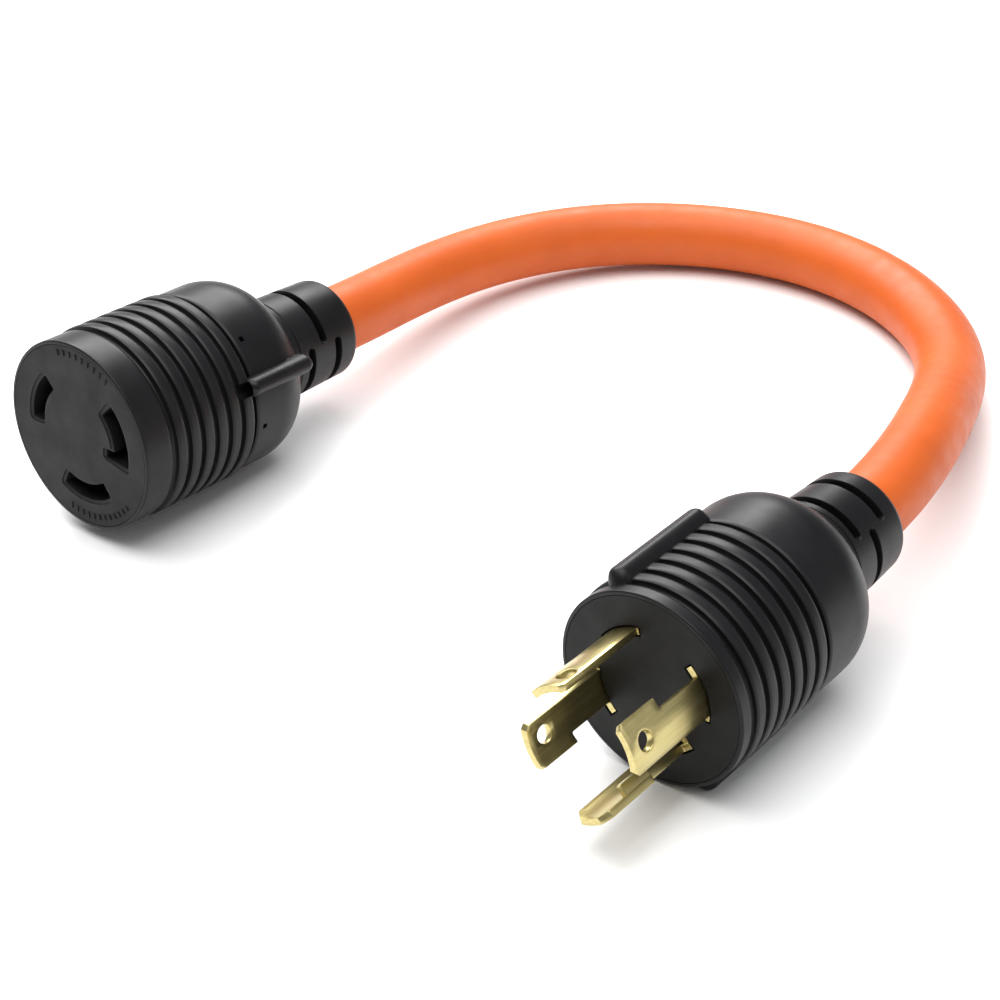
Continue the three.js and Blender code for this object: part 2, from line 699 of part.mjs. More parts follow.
function plugEnd() {
  const group = new THREE.Group();
  group.applyMatrix4(plug.frame);
  const mould = innerMould(plug, HOLDER_TO + GAP, blades);
  group.add(piece('plug_body', housingShell(plug), 'softBlack'));
  group.add(piece('plug_face', faceDisc(plug, bladeSlots()), 'hardBlack'));
  group.add(piece('blade_holder', bladeHolder(), 'hardBlack'));
  group.add(piece('plug_inner_mould', mould, 'innerGrey'));
  group.add(piece('plug_strain_relief', strainRelief(plug), 'softBlack'));
  for (const [name, spec] of Object.entries(blades)) {
    group.add(piece(name, lockingBlade(spec), 'brass'));
  }
  return group;
}

function connectorEnd() {
  const group = new THREE.Group();
  group.applyMatrix4(connector.frame);
  const mould = innerMould(connector, CAP_TO + GAP, contacts);
  group.add(piece('connector_body', connectorShell(), 'softBlack'));
  group.add(piece('connector_face', faceDisc(connector, faceSlots()), 'hardBlack'));
  group.add(piece('contact_carrier', contactCarrier(), 'hardBlack'));
  group.add(piece('carrier_cap', carrierCap(), 'hardBlack'));
  group.add(piece('connector_inner_mould', mould, 'innerGrey'));
  group.add(piece('connector_strain_relief', strainRelief(connector), 'softBlack'));
  for (const [name, spec] of Object.entries(contacts)) {
    group.add(piece(name, springContact(spec), 'brass'));
  }
  return group;
}

function cord() {
  const group = new THREE.Group();
  group.add(piece('cord_jacket', swept(cordStations(0, 0), CORD_RADIUS, 12, CORD_BORE), 'orange'));
  for (const [name, wire] of Object.entries(wires)) {
    const stations = routes[name];
    const insulation = swept(stations, WIRE_RADIUS, 8, COPPER_BORE, 6);
    const copper = swept(copperStations(stations), COPPER_RADIUS, 6);
    group.add(piece(`${name}_insulation`, insulation, wire.colour));
    group.add(piece(`${name}_copper`, copper, 'copper'));
  }
  fillerAngles.forEach((angle, k) => {
    const filler = swept(cordStations(FILLER_ORBIT, angle), FILLER_RADIUS, 6);
    group.add(piece(`filler_${k + 1}`, filler, 'filler'));
  });
  return group;
}

const adapter = new THREE.Group();
adapter.add(plugEnd(), connectorEnd(), cord());

export default adapter;
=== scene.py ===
"""Looks of the power adapter dogbone: a short orange cord between a locking plug and a locking
connector. Every object is in metres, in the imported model's frame.

Each housing is drawn in millimetres in its own frame: y along its axis with 0 at the face and
positive towards the cord, and angles counted anticlockwise from +X as seen from the face.
"""

import json
import math

import bmesh
import bpy
import numpy as np
from mathutils import Matrix, Quaternion, Vector
from mathutils.geometry import delaunay_2d_cdt


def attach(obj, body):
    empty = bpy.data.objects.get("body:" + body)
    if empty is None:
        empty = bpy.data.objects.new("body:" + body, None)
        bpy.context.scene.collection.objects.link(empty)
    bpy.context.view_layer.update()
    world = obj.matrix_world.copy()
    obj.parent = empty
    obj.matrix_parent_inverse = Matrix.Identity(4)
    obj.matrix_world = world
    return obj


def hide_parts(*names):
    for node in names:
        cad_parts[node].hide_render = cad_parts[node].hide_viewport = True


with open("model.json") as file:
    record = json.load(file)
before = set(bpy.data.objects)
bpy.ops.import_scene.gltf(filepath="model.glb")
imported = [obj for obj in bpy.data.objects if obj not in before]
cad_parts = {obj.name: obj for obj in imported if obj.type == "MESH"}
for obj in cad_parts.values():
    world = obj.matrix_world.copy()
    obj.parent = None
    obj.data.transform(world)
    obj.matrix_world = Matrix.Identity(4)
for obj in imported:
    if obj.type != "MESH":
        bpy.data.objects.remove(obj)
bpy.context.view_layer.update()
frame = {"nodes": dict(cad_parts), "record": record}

MM = 0.001
ROOT = "root"

# Camera ---------------------------------------------------------------------------------------

CAMERA_TARGET = Vector((0.0175, 0.0053, 0.0259))
CAMERA_AZIMUTH = math.radians(40.99)
CAMERA_ELEVATION = math.radians(32.62)
CAMERA_DISTANCE = 0.465
CAMERA_ROLL = math.radians(-2.45)
CAMERA_LENS = 79.2  # millimetres
CAMERA_SENSOR = 36  # millimetres
CAMERA_NEAREST = 0.01


def direction(azimuth, elevation):
    """From the object towards something at that azimuth and elevation. Azimuth 0 is -Y."""
    level = math.cos(elevation)
    return Vector((math.sin(azimuth) * level, -math.cos(azimuth) * level, math.sin(elevation)))


def make_camera():
    data = bpy.data.cameras.new("camera")
    data.lens = CAMERA_LENS
    data.sensor_width = CAMERA_SENSOR
    data.clip_start = CAMERA_NEAREST
    camera = bpy.data.objects.new("camera", data)
    bpy.context.scene.collection.objects.link(camera)
    back = direction(CAMERA_AZIMUTH, CAMERA_ELEVATION)
    camera.location = CAMERA_TARGET + back * CAMERA_DISTANCE
    camera.rotation_mode = "QUATERNION"
    level = (-back).to_track_quat("-Z", "Y")
    camera.rotation_quaternion = level @ Quaternion((0, 0, 1), CAMERA_ROLL)
    bpy.context.scene.camera = camera


# Mesh helpers -----------------------------------------------------------------------------------

SHARP_ANGLE = math.radians(38)
WELD_DISTANCE = 2e-7
FILL_TOLERANCE = 1e-5
STRAIGHT_CORNER = math.radians(89)  # half the angle of a corner that is left as a point
CORNER_STEPS = 4
MARK_BEVEL = 0.06
GRID_MARGIN = 0.3  # part of the grid's spacing that is kept clear along the outlines


def link(name, mesh):
    """A shaded object from a mesh: smooth, with a hard edge wherever two faces meet sharply."""
    mesh.polygons.foreach_set("use_smooth", [True] * len(mesh.polygons))
    mesh.set_sharp_from_angle(angle=SHARP_ANGLE)
    piece = bpy.data.objects.new(name, mesh)
    bpy.context.scene.collection.objects.link(piece)
    return piece


def mesh_of(name, points, faces, matrix=None):
    """A mesh with its close points welded and its faces turned outwards."""
    mesh = bpy.data.meshes.new(name)
    mesh.from_pydata([tuple(p) for p in points], [], [tuple(int(i) for i in f) for f in faces])
    if matrix is not None:
        mesh.transform(matrix)
    shape = bmesh.new()
    shape.from_mesh(mesh)
    bmesh.ops.remove_doubles(shape, verts=shape.verts, dist=WELD_DISTANCE)
    bmesh.ops.recalc_face_normals(shape, faces=shape.faces)
    shape.to_mesh(mesh)
    shape.free()
    return mesh


def triangulated(mesh):
    """Splits a mesh's faces into flat ones, which a boolean cuts exactly."""
    shape = bmesh.new()
    shape.from_mesh(mesh)
    bmesh.ops.triangulate(shape, faces=shape.faces)
    shape.to_mesh(mesh)
    shape.free()


def combined(base, tools, operation):
    """The base mesh joined with, or cut by, other meshes, which are used up."""
    for mesh in (base, *tools):
        triangulated(mesh)
    holder = bpy.data.objects.new("boolean_base", base)
    bpy.context.scene.collection.objects.link(holder)
    helpers = []
    for number, tool in enumerate(tools):
        helper = bpy.data.objects.new(f"boolean_tool_{number}", tool)
        bpy.context.scene.collection.objects.link(helper)
        helpers.append(helper)
        modifier = holder.modifiers.new(f"tool_{number}", "BOOLEAN")
        modifier.operation = operation
        modifier.solver = "EXACT"
        modifier.object = helper
    graph = bpy.context.evaluated_depsgraph_get()
    result = bpy.data.meshes.new_from_object(holder.evaluated_get(graph))
    for item in [holder, *helpers]:
        bpy.data.objects.remove(item)
    return result


def ring_faces(rings, columns, closed=False):
    """Quads between rings of points, ring after ring. If closed, the last leads to the first."""
    faces = []
    for i in range(rings if closed else rings - 1):
        for j in range(columns):
            below = (i + 1) % rings
            right = (j + 1) % columns
            faces.append((
                i * columns + j, i * columns + right, below * columns + right, below * columns + j))
    return faces


def polar(radius, angle):
    """A point across a housing's axis, at a radius and an angle in degrees."""
    return radius * math.cos(math.radians(angle)), radius * math.sin(math.radians(angle))


def circle(radius, sides, centre=(0.0, 0.0)):
    """A round outline as a function of how far it is drawn in."""
    turns = [2 * math.pi * k / sides for k in range(sides)]

    def outline(inset):
        r = radius - inset
        return [(centre[0] + r * math.cos(t), centre[1] + r * math.sin(t)) for t in turns]

    return outline


def drawn_in(points, inset):
    """A closed outline moved inwards all round by mitred corners. Anticlockwise outlines shrink."""
    p = np.array(points, float)
    before = p - np.roll(p, 1, axis=0)
    after = np.roll(p, -1, axis=0) - p
    before /= np.linalg.norm(before, axis=1)[:, None]
    after /= np.linalg.norm(after, axis=1)[:, None]
    left_before = np.stack([-before[:, 1], before[:, 0]], axis=1)
    left_after = np.stack([-after[:, 1], after[:, 0]], axis=1)
    mitre = left_before + left_after
    mitre /= (1 + (left_before * left_after).sum(1))[:, None]
    return [tuple(q) for q in p + inset * mitre]


def rounded(corners, radius=0, steps=CORNER_STEPS):
    """An outline with each corner replaced by an arc. A corner is (x, y) or (x, y, its radius)."""
    points = []
    count = len(corners)
    for k, corner in enumerate(corners):
        here = np.array(corner[:2])
        r = corner[2] if len(corner) > 2 else radius
        to_last = np.array(corners[k - 1][:2]) - here
        to_next = np.array(corners[(k + 1) % count][:2]) - here
        to_last = to_last / np.linalg.norm(to_last)
        to_next = to_next / np.linalg.norm(to_next)
        half = math.acos(max(-1.0, min(1.0, float(to_last @ to_next)))) / 2
        if r <= 0 or half > STRAIGHT_CORNER:
            points.append(tuple(here))
            continue
        middle = to_last + to_next
        centre = here + middle / np.linalg.norm(middle) * (r / math.sin(half))
        start = here + to_last * (r / math.tan(half)) - centre
        end = here + to_next * (r / math.tan(half)) - centre
        first = math.atan2(start[1], start[0])
        sweep = math.remainder(math.atan2(end[1], end[0]) - first, 2 * math.pi)
        for step in range(steps + 1):
            turn = first + sweep * step / steps
            points.append((centre[0] + r * math.cos(turn), centre[1] + r * math.sin(turn)))
    return points


def subdivided(points, step):
    """A closed outline with extra points so that no side is longer than step."""
    result = []
    for k, point in enumerate(points):
        here = np.array(point)
        after = np.array(points[(k + 1) % len(points)])
        parts = max(1, math.ceil(np.linalg.norm(after - here) / step))
        result += [tuple(here + (after - here) * i / parts) for i in range(parts)]
    return result


def inside(point, outline):
    """Whether a point is inside a closed outline."""
    x, y = point
    result = False
    for k, (x1, y1) in enumerate(outline):
        x0, y0 = outline[k - 1]
        if (y0 > y) != (y1 > y) and x < x0 + (y - y0) * (x1 - x0) / (y1 - y0):
            result = not result
    return result


def filled(outlines, extra):
    """Triangles that fill the first outline outside the others, and use the extra points too."""
    points = [p for outline in outlines for p in outline]
    edges = []
    for outline in outlines:
        start = len(edges)
        edges += [(start + k, start + (k + 1) % len(outline)) for k in range(len(outline))]
    coordinates = [Vector(p) for p in points + list(extra)]
    made, _, faces, origin, _, _ = delaunay_2d_cdt(
        coordinates, edges, [], 0, FILL_TOLERANCE, True)
    triangles = []
    for face in faces:
        middle = sum((made[i] for i in face), Vector((0, 0))) / len(face)
        if sum(inside(middle, outline) for outline in outlines) == 1:
            triangles.append(tuple(origin[i][0] for i in face))
    return triangles


def plate(loops, to_space, grid=None, marks=()):
    """A closed solid between two caps. Each loop is (outline, levels): the outline is a function
    of an inset, and a level is (inset, depth). The first loop is the rim and the rest are holes,
    whose insets are negative where they open out. grid is the spacing of points in the caps.
    marks are (outline, height) of raised shapes on the first cap."""
    points = []
    faces = []
    caps = []
    for outline, levels in loops:
        start = len(points)
        for inset, depth in levels:
            points += [to_space(u, v, depth) for u, v in outline(inset)]
        count = len(outline(0))
        for a, b, c, d in ring_faces(len(levels), count):
            faces.append((start + a, start + b, start + c, start + d))
        caps.append((start, count, start + (len(levels) - 1) * count))
    base_depth = loops[0][1][0][1]
    mark_starts = []
    for outline, height in marks:
        start = len(points)
        count = len(outline(0))
        points += [to_space(u, v, base_depth) for u, v in outline(0)]
        points += [to_space(u, v, base_depth - height) for u, v in outline(MARK_BEVEL)]
        faces += [tuple(start + i for i in face) for face in ring_faces(2, count)]
        faces.append(tuple(range(start + count, start + 2 * count)))
        mark_starts.append((start, count))
    for which in (0, -1):
        outlines = [outline(levels[which][0]) for outline, levels in loops]
        if which == 0:
            outlines += [outline(0) for outline, _ in marks]
        depth = loops[0][1][which][1]
        extra = []
        if grid:
            us = [p[0] for p in outlines[0]]
            vs = [p[1] for p in outlines[0]]
            for u in np.arange(min(us) + grid[0] / 2, max(us), grid[0]):
                for v in np.arange(min(vs) + grid[1] / 2, max(vs), grid[1]):
                    near = min(math.hypot(u - p[0], v - p[1]) for o in outlines for p in o)
                    if near > GRID_MARGIN * min(grid) and sum(inside((u, v), o) for o in outlines) == 1:
                        extra.append((float(u), float(v)))
        index = []
        for start, count, last in caps:
            index += range(start, start + count) if which == 0 else range(last, last + count)
        for start, count in mark_starts if which == 0 else ():
            index += range(start, start + count)
        index += range(len(points), len(points) + len(extra))
        points += [to_space(u, v, depth) for u, v in extra]
        faces += [tuple(index[i] for i in face) for face in filled(outlines, extra)]
    return points, faces


# Where the housings are -------------------------------------------------------------------------


def placed_at(mount_name):
    """From a housing's own frame, in millimetres, to the model's, by the mount on its face."""
    mount = next(m for m in frame["record"]["mounts"] if m["name"] == mount_name)
    along = -Vector(mount["axis"]).normalized()
    across = Vector((1, 0, 0))
    turn = Matrix((across, along, across.cross(along))).transposed().to_4x4()
    return Matrix.Translation(mount["pos_m"]) @ turn @ Matrix.Scale(MM, 4)


CONNECTOR_PLACE = placed_at("connector_face")
PLUG_PLACE = placed_at("plug_face")

# Radii, distances from the face along the axis, and angles in degrees.
connector = {
    "collar": 22.7,
    "rib": 23.1,
    "rear": 22.5,
    "first_groove": 8.5,
    "groove_pitch": 4.15,
    "shoulder": 43,
    "body_length": 54,
    "length": 79,
    "neck_base": 12.9,
    "neck_end": 12.4,
    "slot_rows": [62.4, 67.0, 71.7],
    "slot_turn": 68,
    "slot_spans": [76, 106, 76],
    "bar": {"angle": 18, "from": 31.2, "to": 52.2, "half_width": 2.45, "top": 25.35, "round": 2.2},
}
plug = {
    "collar": 21.2,
    "rib": 21.5,
    "rear": 21.2,
    "first_groove": 3.8,
    "groove_pitch": 4.2,
    "shoulder": 40,
    "body_length": 50,
    "length": 73,
    "neck_base": 12.8,
    "neck_end": 12.0,
    "slot_rows": [57.2, 61.9, 66.5],
    "slot_turn": 0,
    "slot_spans": [106, 76, 106],
    "bar": {"angle": 118, "from": 1.9, "to": 31.6, "half_width": 2.85, "top": 24.1, "round": 2.4},
}
GROOVES = 7
FACE_LIP = 0.9  # width of the shell's rim round the face
SEAM = 0.05  # between the face and its rim
SHELL_WALL = 4.5
REAR_WALL = 3.7

# Cord -------------------------------------------------------------------------------------------

CORD_DIAMETER = 0.017
# The route of part.mjs in metres, but 5 mm shorter inside the connector.
CORD_ROUTE = [
    (-0.0756, 0.0212, 0.0217), (-0.0756, 0.0332, 0.0208), (-0.0758, 0.0501, 0.0193),
    (-0.0773, 0.0669, 0.0172), (-0.0793, 0.0836, 0.015), (-0.08, 0.1005, 0.0129),
    (-0.0775, 0.1172, 0.0115), (-0.0713, 0.1329, 0.0106), (-0.0616, 0.1467, 0.0099),
    (-0.0488, 0.1579, 0.0093), (-0.0338, 0.1657, 0.0089), (-0.0173, 0.1697, 0.0087),
    (-0.0004, 0.1697, 0.0086), (0.0161, 0.1655, 0.0086), (0.031, 0.1576, 0.0087),
    (0.0437, 0.1464, 0.0092), (0.0536, 0.1327, 0.0108), (0.0607, 0.1176, 0.0136),
    (0.0667, 0.102, 0.017), (0.0722, 0.0862, 0.0199), (0.0763, 0.0698, 0.0213),
    (0.0783, 0.053, 0.0215), (0.0784, 0.036, 0.0215), (0.0784, 0.019, 0.0215),
]
CORD_PARTS = 8  # rings from one point of the route to the next
CORD_EASING = 24  # passes that even out the bends between two points of the route
CORD_SIDES = 64
WIRES = 3
WIRE_SWELL = 0.004  # of the cord's radius
WIRE_LAY = 22.7  # radians of twist in a metre


def smooth_line(points, parts):
    """A smooth curve through the points, with that many parts between two of them."""
    p = np.array(points, float)
    ends = [2 * p[0] - p[1], *p, 2 * p[-1] - p[-2]]
    line = []
    for a, b, c, d in zip(ends, ends[1:], ends[2:], ends[3:]):
        for t in np.arange(parts) / parts:
            line.append(0.5 * (
                2 * b + (c - a) * t + (2 * a - 5 * b + 4 * c - d) * t**2
                + (3 * b - a - 3 * c + d) * t**3))
    line = np.array([*line, p[-1]])
    for _ in range(CORD_EASING):
        line[1:-1] = (line[:-2] + 2 * line[1:-1] + line[2:]) / 4
    return line


def make_cord():
    line = smooth_line(CORD_ROUTE, CORD_PARTS)
    tangent = np.gradient(line, axis=0)
    tangent /= np.linalg.norm(tangent, axis=1)[:, None]
    side = np.cross(tangent, (0, 0, 1))
    side /= np.linalg.norm(side, axis=1)[:, None]
    top = np.cross(side, tangent)
    turns = 2 * math.pi * np.arange(CORD_SIDES) / CORD_SIDES
    # The wires inside press faintly through the jacket along their lay.
    along = np.concatenate([[0], np.cumsum(np.linalg.norm(np.diff(line, axis=0), axis=1))])
    points = []
    for k, centre in enumerate(line):
        swell = 1 + WIRE_SWELL * np.cos(WIRES * (turns + along[k] * WIRE_LAY))
        radius = CORD_DIAMETER / 2 * swell
        sideways = side[k] * (radius * np.cos(turns))[:, None]
        upwards = top[k] * (radius * np.sin(turns))[:, None]
        points += list(centre + sideways + upwards)
    faces = ring_faces(len(line), CORD_SIDES)
    last = (len(line) - 1) * CORD_SIDES
    faces += [tuple(range(CORD_SIDES)), tuple(range(last, last + CORD_SIDES))]
    cord = link("orange_cord", mesh_of("orange_cord", points, faces))
    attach(cord, ROOT)
    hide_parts("cord_jacket")
    return cord


# Housings ---------------------------------------------------------------------------------------

GROOVE_HALF = 0.7
GROOVE_DEPTH = 1.15  # below the groove's edges
RIB_ROUND = 0.75  # how far a rib's rounding reaches from the groove's edge
RIB_DROP = 0.26  # how far the groove's edges lie below the rib's crown
RIM_ROUND = 0.35
SHOULDER_GAP = 0.3  # between the neck and the end of the shoulder's curve

# Where the rings and columns of points are.
RIM_STATIONS = [0, 0.05, 0.12, 0.22, 0.35, 0.8]
GROOVE_STATIONS = [-1.45, -1.2, -1.0, -0.85, -0.75, -0.7, -0.66, -0.55, -0.38, -0.2, 0]
SHOULDER_RINGS = 25
BAR_END_OUTSIDE = 0.6
BAR_END_INSIDE = 3.0
BAR_RING_STEP = 0.15
PLAIN_FROM = 1.5
PLAIN_RING_STEP = 1.2
CLOSEST_RINGS = 0.05
BAR_SPREAD = 9.0  # degrees on each side of a bar's middle
BAR_COLUMN_STEP = 0.3
PLAIN_COLUMN_STEP = 2.7

BAR_ROOT = 1.6  # how far a bar's foot lies below the ribs
NECK_GAP = 0.06
CAVITY_BEVEL = (2.2, 6)  # radius and length
LIP_DEPTH = 2.3
LIP_BEVEL = (0.05, 0.08)  # radius and length

# The pocket ahead of each of the connector's bars, and the two square pits beside the bar.
MOUTH_ORBIT = 22.7
MOUTH_RADIUS = 1.85
MOUTH_AHEAD = 2.6
MOUTH_UNDER = 7
ROD_SIDES = 32
PIT_TURN = 28
PIT_Y = 36.5
PIT_FLOOR = 20.9  # radius
PIT_TOP = 24
PIT_HALF = 0.62


def groove_drop(distance):
    """How far the surface lies below a rib's crown at a distance from a groove's middle."""
    d = np.abs(distance)
    slot = RIB_DROP + GROOVE_DEPTH * np.sqrt(np.clip(1 - (d / GROOVE_HALF) ** 2, 0, 1))
    edge = RIB_DROP * np.clip(1 - (d - GROOVE_HALF) / RIB_ROUND, 0, 1) ** 2
    return np.where(d < GROOVE_HALF, slot, edge)


def body_radius(end, y):
    """Radius of a housing at each y, without its bars."""
    grooves = [end["first_groove"] + k * end["groove_pitch"] for k in range(GROOVES)]
    radius = np.full(len(y), float(end["rib"]))
    radius[y < grooves[0]] = end["collar"]
    radius[y > grooves[-1]] = end["rear"]
    for groove in grooves:
        radius -= groove_drop(y - groove)
    front = y < RIM_ROUND
    radius[front] -= RIM_ROUND - np.sqrt(RIM_ROUND**2 - (RIM_ROUND - y[front]) ** 2)
    base = end["neck_base"] + SHOULDER_GAP
    depth = end["body_length"] - end["shoulder"]
    back = y > end["shoulder"]
    fall = np.clip((y[back] - end["shoulder"]) / depth, 0, 1)
    radius[back] = base + (end["rear"] - base) * np.sqrt(1 - fall**2)
    return radius


def body_stations(end):
    """Values of y for the rings of a housing, close together where its outline turns."""
    stations = list(RIM_STATIONS)
    for k in range(GROOVES):
        groove = end["first_groove"] + k * end["groove_pitch"]
        stations += [groove + d for d in GROOVE_STATIONS] + [groove - d for d in GROOVE_STATIONS]
    depth = end["body_length"] - end["shoulder"]
    for turn in np.linspace(0, 90, SHOULDER_RINGS):
        stations.append(end["shoulder"] + depth * math.sin(math.radians(turn)))
    for edge in (end["bar"]["from"], end["bar"]["to"]):
        stations += list(np.arange(edge - BAR_END_OUTSIDE, edge + BAR_END_INSIDE, BAR_RING_STEP))
        stations += list(np.arange(edge - BAR_END_INSIDE, edge + BAR_END_OUTSIDE, BAR_RING_STEP))
    stations += list(np.arange(PLAIN_FROM, end["shoulder"], PLAIN_RING_STEP))
    stations = sorted(s for s in stations if 0 <= s <= end["body_length"])
    kept = [stations[0]]
    for s in stations[1:]:
        if s - kept[-1] > CLOSEST_RINGS:
            kept.append(s)
    kept[-1] = end["body_length"]
    return np.array(kept)


def body_angles(end):
    """Angles of the columns of a housing, close together across its bars."""
    angles = []
    for middle in (end["bar"]["angle"], end["bar"]["angle"] + 180):
        angles += list(middle + np.arange(-BAR_SPREAD, BAR_SPREAD, BAR_COLUMN_STEP))
        angles += list(middle + np.arange(BAR_SPREAD, 180 - BAR_SPREAD, PLAIN_COLUMN_STEP))
    return np.array(angles)


def bar_height(end, angle, y):
    """How far a bar's surface is from the axis, and 0 away from it. Its plan is a slot shape."""
    bar = end["bar"]
    width = bar["half_width"]
    across = np.radians((angle - bar["angle"] + 90) % 180 - 90) * end["rib"]
    beyond = np.maximum(np.maximum(bar["from"] + width - y, y - bar["to"] + width), 0)
    depth = width - np.hypot(across, beyond)
    rise = np.sqrt(np.clip(1 - (1 - np.clip(depth / bar["round"], 0, 1)) ** 2, 0, 1))
    foot = end["rib"] - BAR_ROOT
    return np.where(depth > 0, foot + (bar["top"] - foot) * rise, 0)


def housing_mesh(name, end, place):
    """A hollow shell with its bars, from the face's rim to the hole for the neck and back."""
    y = body_stations(end)
    angles = body_angles(end)
    radius = body_radius(end, y)
    lip = end["collar"] - FACE_LIP + SEAM / 2
    cavity = end["rib"] - SHELL_WALL
    neck_hole = end["neck_base"] + NECK_GAP
    back = end["body_length"] - REAR_WALL
    rings = []
    for station, outer in zip(y, radius):
        rings.append((station, np.maximum(outer, bar_height(end, angles, station))))
    for r, station in (
            (neck_hole, end["body_length"]), (neck_hole, back), (cavity - CAVITY_BEVEL[0], back),
            (cavity, back - CAVITY_BEVEL[1]), (cavity, LIP_DEPTH), (lip, LIP_DEPTH),
            (lip, LIP_BEVEL[1]), (lip + LIP_BEVEL[0], 0)):
        rings.append((station, np.full(len(angles), r)))
    points = []
    for station, reach in rings:
        for r, a in zip(reach, angles):
            x, z = polar(r, a)
            points.append((x, station, z))
    return mesh_of(name, points, ring_faces(len(rings), len(angles), closed=True), place)


def rod(radius, start, end):
    """A round bar between two points, in millimetres, as points and faces."""
    axis = (Vector(end) - Vector(start)).normalized()
    side = axis.orthogonal().normalized()
    top = axis.cross(side)
    points = []
    for centre in (Vector(start), Vector(end)):
        for k in range(ROD_SIDES):
            turn = 2 * math.pi * k / ROD_SIDES
            points.append(centre + (side * math.cos(turn) + top * math.sin(turn)) * radius)
    faces = ring_faces(2, ROD_SIDES)
    faces += [tuple(range(ROD_SIDES)), tuple(range(ROD_SIDES, 2 * ROD_SIDES))]
    return points, faces


def pit_cutter(angle):
    """A square bar along a radius."""
    out = Vector((*polar(1, angle), 0)).xzy
    around = Vector((-out.z, 0, out.x))
    points = []
    for r in (PIT_FLOOR, PIT_TOP):
        for i, j in ((-1, -1), (1, -1), (1, 1), (-1, 1)):
            points.append(
                out * r + around * (PIT_HALF * i) + Vector((0, PIT_Y + PIT_HALF * j, 0)))
    faces = ring_faces(2, 4) + [(0, 1, 2, 3), (4, 5, 6, 7)]
    return points, faces


def make_connector_body():
    body = housing_mesh("connector_housing", connector, CONNECTOR_PLACE)
    bar = connector["bar"]
    cutters = []
    for angle in (bar["angle"], bar["angle"] + 180):
        x, z = polar(MOUTH_ORBIT, angle)
        mouth_start = (x, bar["from"] - MOUTH_AHEAD, z)
        mouth_end = (x, bar["from"] + MOUTH_UNDER, z)
        cutters.append(rod(MOUTH_RADIUS, mouth_start, mouth_end))
        for turn in (-PIT_TURN, PIT_TURN):
            cutters.append(pit_cutter(angle + turn))
    tools = [mesh_of("cutter", points, faces, CONNECTOR_PLACE) for points, faces in cutters]
    body = combined(body, tools, "DIFFERENCE")
    piece = link("connector_housing", body)
    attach(piece, ROOT)
    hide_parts("connector_body")
    return piece


def make_plug_body():
    piece = link("plug_housing", housing_mesh("plug_housing", plug, PLUG_PLACE))
    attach(piece, ROOT)
    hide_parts("plug_body")
    return piece


# Necks ------------------------------------------------------------------------------------------

NECK_BORE = 8.62
NECK_ROUND = 1.9
NECK_BEVEL = 0.35  # round the cord
NECK_INSIDE = 6  # how far a neck goes on inside its housing
NECK_SIDES = 144
NECK_TAPER_LEAD = 2.6  # how far ahead of the first slots the taper begins
NECK_TAPER_DROP = 0.03
NECK_TAPER_PARTS = (0.25, 0.5, 0.75)
MOULD_LINE = 4.6  # from the housing
MOULD_LINE_SHAPE = [(0, -0.35), (0.28, -0.05), (0.28, 0.05), (0.04, 0.3)]  # (drop, along the neck)
NECK_SLOT_HALF = 1.0
NECK_SLOT_FLOOR = 10.0
NECK_SLOT_EDGE = [(0, -0.22), (-0.06, -0.1), (-0.2, 0.04), (-0.5, 0.4)]  # (inset, above the neck)
NECK_SLOT_PART = 3  # degrees
NECK_SLOT_FEWEST = 8
NECK_SLOT_ROUND_STEPS = 8


def curved_slot(middle, span, y, surface):
    """A cutter for one slot of a neck: it runs round the neck, has round ends and opens out a
    little at the surface."""
    straight = math.radians(span / 2) * surface - NECK_SLOT_HALF
    steps = max(NECK_SLOT_FEWEST, round(span / NECK_SLOT_PART))

    def outline(inset):
        half = NECK_SLOT_HALF - inset
        points = [(straight * (2 * k / steps - 1), -half) for k in range(steps + 1)]
        for k in range(1, NECK_SLOT_ROUND_STEPS):
            turn = -math.pi / 2 + math.pi * k / NECK_SLOT_ROUND_STEPS
            points.append((straight + half * math.cos(turn), half * math.sin(turn)))
        points += [(straight * (1 - 2 * k / steps), half) for k in range(steps + 1)]
        for k in range(1, NECK_SLOT_ROUND_STEPS):
            turn = math.pi / 2 + math.pi * k / NECK_SLOT_ROUND_STEPS
            points.append((-straight + half * math.cos(turn), half * math.sin(turn)))
        return points

    def to_space(u, v, depth):
        x, z = polar(depth, middle + math.degrees(u / surface))
        return x, y + v, z

    levels = [(0, NECK_SLOT_FLOOR)]
    levels += [(inset, surface + height) for inset, height in NECK_SLOT_EDGE]
    return plate([(outline, levels)], to_space)


def neck_profile(end):
    """Outer outline of a neck from inside the housing to its end: (radius, y)."""
    base = end["neck_base"]
    line = end["body_length"] + MOULD_LINE
    taper = end["slot_rows"][0] - NECK_TAPER_LEAD
    last = end["length"] - NECK_ROUND
    points = [(base, end["body_length"] - NECK_INSIDE)]
    points += [(base - drop, line + along) for drop, along in MOULD_LINE_SHAPE]
    points.append((base - NECK_TAPER_DROP, taper))
    for t in NECK_TAPER_PARTS:
        points.append((base + (end["neck_end"] - base) * t, taper + (last - taper) * t))
    for degrees in range(0, 91, 10):
        turn = math.radians(degrees)
        points.append((
            end["neck_end"] - NECK_ROUND * (1 - math.cos(turn)), last + NECK_ROUND * math.sin(turn)))
    return points


